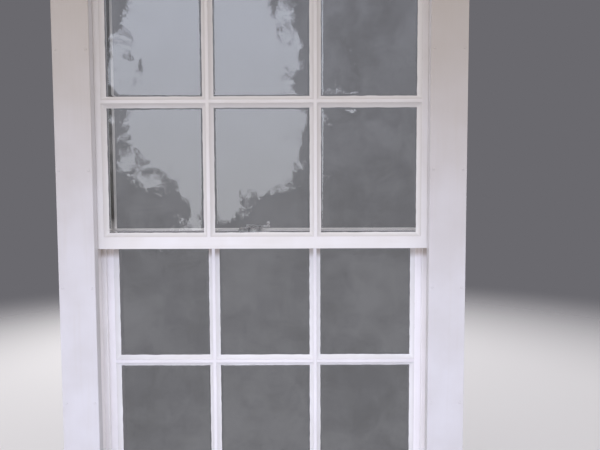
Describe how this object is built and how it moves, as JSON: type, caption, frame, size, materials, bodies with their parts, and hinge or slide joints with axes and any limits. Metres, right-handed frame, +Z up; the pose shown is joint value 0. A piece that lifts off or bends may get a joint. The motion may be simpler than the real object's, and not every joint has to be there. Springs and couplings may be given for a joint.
{
  "type": "sash window",
  "caption": "Timber box-frame sliding sash window with glazing bars; both sashes hang on cords over pulleys, balanced by iron weights in the side boxes.",
  "frame": {"origin": "on the underside of the sill, at the window's centre line, in the plane of the outer linings' outside face", "axes": "+X across the window to the right as seen from outside, +Y inwards from outside to the room, +Z up"},
  "size_m": [1.003, 0.1862, 1.5849],
  "materials": {
    "painted_timber": "aged white gloss paint",
    "bare_softwood": "sawn, bare",
    "old_glass": "clear, slightly wavy",
    "painted_putty": "linseed putty under white paint",
    "cotton_cord": "braided cotton",
    "cast_iron": "as cast, dark",
    "pulley_brass": "dull brass",
    "bright_steel": "plain steel pin",
    "brass_screws": "dull brass",
    "aged_brass": "tarnished brass"
  },
  "bodies": {
    "box_frame": {"sill": "painted_timber", "head_board": "painted_timber", "pulley_stile_left": "painted_timber", "pulley_stile_right": "painted_timber", "outer_lining_left": "painted_timber", "outer_lining_right": "painted_timber", "outer_lining_head": "painted_timber", "inner_lining_left": "painted_timber", "inner_lining_right": "painted_timber", "inner_lining_head": "painted_timber", "back_lining_left": "bare_softwood", "back_lining_right": "bare_softwood", "parting_slips": "bare_softwood", "parting_bead_left": "painted_timber", "parting_bead_right": "painted_timber", "parting_bead_head": "painted_timber", "staff_bead_left": "painted_timber", "staff_bead_right": "painted_timber", "staff_bead_head": "painted_timber", "staff_bead_sill": "painted_timber", "pocket_piece_left": "painted_timber", "pocket_piece_right": "painted_timber", "glue_blocks": "bare_softwood", "pulley_cases": "pulley_brass", "pulley_axles": "bright_steel", "pulley_screws": "brass_screws", "sash_cord_upper_left": "cotton_cord", "sash_cord_upper_right": "cotton_cord", "sash_cord_lower_left": "cotton_cord", "sash_cord_lower_right": "cotton_cord"},
    "upper_sash": {"upper_stile_left": "painted_timber", "upper_stile_right": "painted_timber", "upper_meeting_rail": "painted_timber", "upper_top_rail": "painted_timber", "upper_upright_bars": "painted_timber", "upper_cross_bars": "painted_timber", "upper_panes": "old_glass", "upper_putty": "painted_putty", "fastener_keeper": "aged_brass", "keeper_screws": "brass_screws"},
    "lower_sash": {"lower_stile_left": "painted_timber", "lower_stile_right": "painted_timber", "lower_bottom_rail": "painted_timber", "lower_meeting_rail": "painted_timber", "lower_upright_bars": "painted_timber", "lower_cross_bars": "painted_timber", "lower_panes": "old_glass", "lower_putty": "painted_putty", "fastener_base": "aged_brass", "hook_lifts": "aged_brass", "lower_sash_screws": "brass_screws"},
    "fastener_arm": {"fastener_arm": "aged_brass"},
    "pulley_wheel_upper_left": {"pulley_wheel_upper_left": "pulley_brass"},
    "weight_upper_left": {"weight_upper_left": "cast_iron"},
    "pulley_wheel_upper_right": {"pulley_wheel_upper_right": "pulley_brass"},
    "weight_upper_right": {"weight_upper_right": "cast_iron"},
    "pulley_wheel_lower_left": {"pulley_wheel_lower_left": "pulley_brass"},
    "weight_lower_left": {"weight_lower_left": "cast_iron"},
    "pulley_wheel_lower_right": {"pulley_wheel_lower_right": "pulley_brass"},
    "weight_lower_right": {"weight_lower_right": "cast_iron"}
  },
  "joints": [
    {"name": "upper_sash_slide", "type": "slide", "parent": "box_frame", "child": "upper_sash", "axis": [0, 0, 1], "range_m": [-0.62, 0], "deforming": ["sash_cord_upper_left", "sash_cord_upper_right"]},
    {"name": "lower_sash_slide", "type": "slide", "parent": "box_frame", "child": "lower_sash", "axis": [0, 0, 1], "range_m": [0, 0.62], "deforming": ["sash_cord_lower_left", "sash_cord_lower_right"]},
    {"name": "fastener_turn", "type": "hinge", "parent": "lower_sash", "child": "fastener_arm", "pos_m": [-0.034, 0.095, 0.822], "axis": [0, 0, -1], "range_deg": [0, 90]},
    {"name": "pulley_wheel_upper_left_turn", "type": "hinge", "parent": "box_frame", "child": "pulley_wheel_upper_left", "pos_m": [-0.446, 0.0433, 1.4119], "axis": [0, 1, 0], "range_deg": [0, 1481.14]},
    {"name": "weight_upper_left_slide", "type": "slide", "parent": "box_frame", "child": "weight_upper_left", "axis": [0, 0, 1], "range_m": [0, 0.62]},
    {"name": "pulley_wheel_upper_right_turn", "type": "hinge", "parent": "box_frame", "child": "pulley_wheel_upper_right", "pos_m": [0.446, 0.0433, 1.4119], "axis": [0, 1, 0], "range_deg": [-1481.14, 0]},
    {"name": "weight_upper_right_slide", "type": "slide", "parent": "box_frame", "child": "weight_upper_right", "axis": [0, 0, 1], "range_m": [0, 0.62]},
    {"name": "pulley_wheel_lower_left_turn", "type": "hinge", "parent": "box_frame", "child": "pulley_wheel_lower_left", "pos_m": [-0.446, 0.0989, 1.4119], "axis": [0, 1, 0], "range_deg": [-1481.14, 0]},
    {"name": "weight_lower_left_slide", "type": "slide", "parent": "box_frame", "child": "weight_lower_left", "axis": [0, 0, 1], "range_m": [-0.62, 0]},
    {"name": "pulley_wheel_lower_right_turn", "type": "hinge", "parent": "box_frame", "child": "pulley_wheel_lower_right", "pos_m": [0.446, 0.0989, 1.4119], "axis": [0, 1, 0], "range_deg": [0, 1481.14]},
    {"name": "weight_lower_right_slide", "type": "slide", "parent": "box_frame", "child": "weight_lower_right", "axis": [0, 0, 1], "range_m": [-0.62, 0]}
  ],
  "couplings": [
    {"joint": "pulley_wheel_upper_left_turn", "follows": "upper_sash_slide", "rad_per_m": -41.667},
    {"joint": "weight_upper_left_slide", "follows": "upper_sash_slide", "ratio": -1},
    {"joint": "pulley_wheel_upper_right_turn", "follows": "upper_sash_slide", "rad_per_m": 41.667},
    {"joint": "weight_upper_right_slide", "follows": "upper_sash_slide", "ratio": -1},
    {"joint": "pulley_wheel_lower_left_turn", "follows": "lower_sash_slide", "rad_per_m": -41.667},
    {"joint": "weight_lower_left_slide", "follows": "lower_sash_slide", "ratio": -1},
    {"joint": "pulley_wheel_lower_right_turn", "follows": "lower_sash_slide", "rad_per_m": 41.667},
    {"joint": "weight_lower_right_slide", "follows": "lower_sash_slide", "ratio": -1}
  ]
}
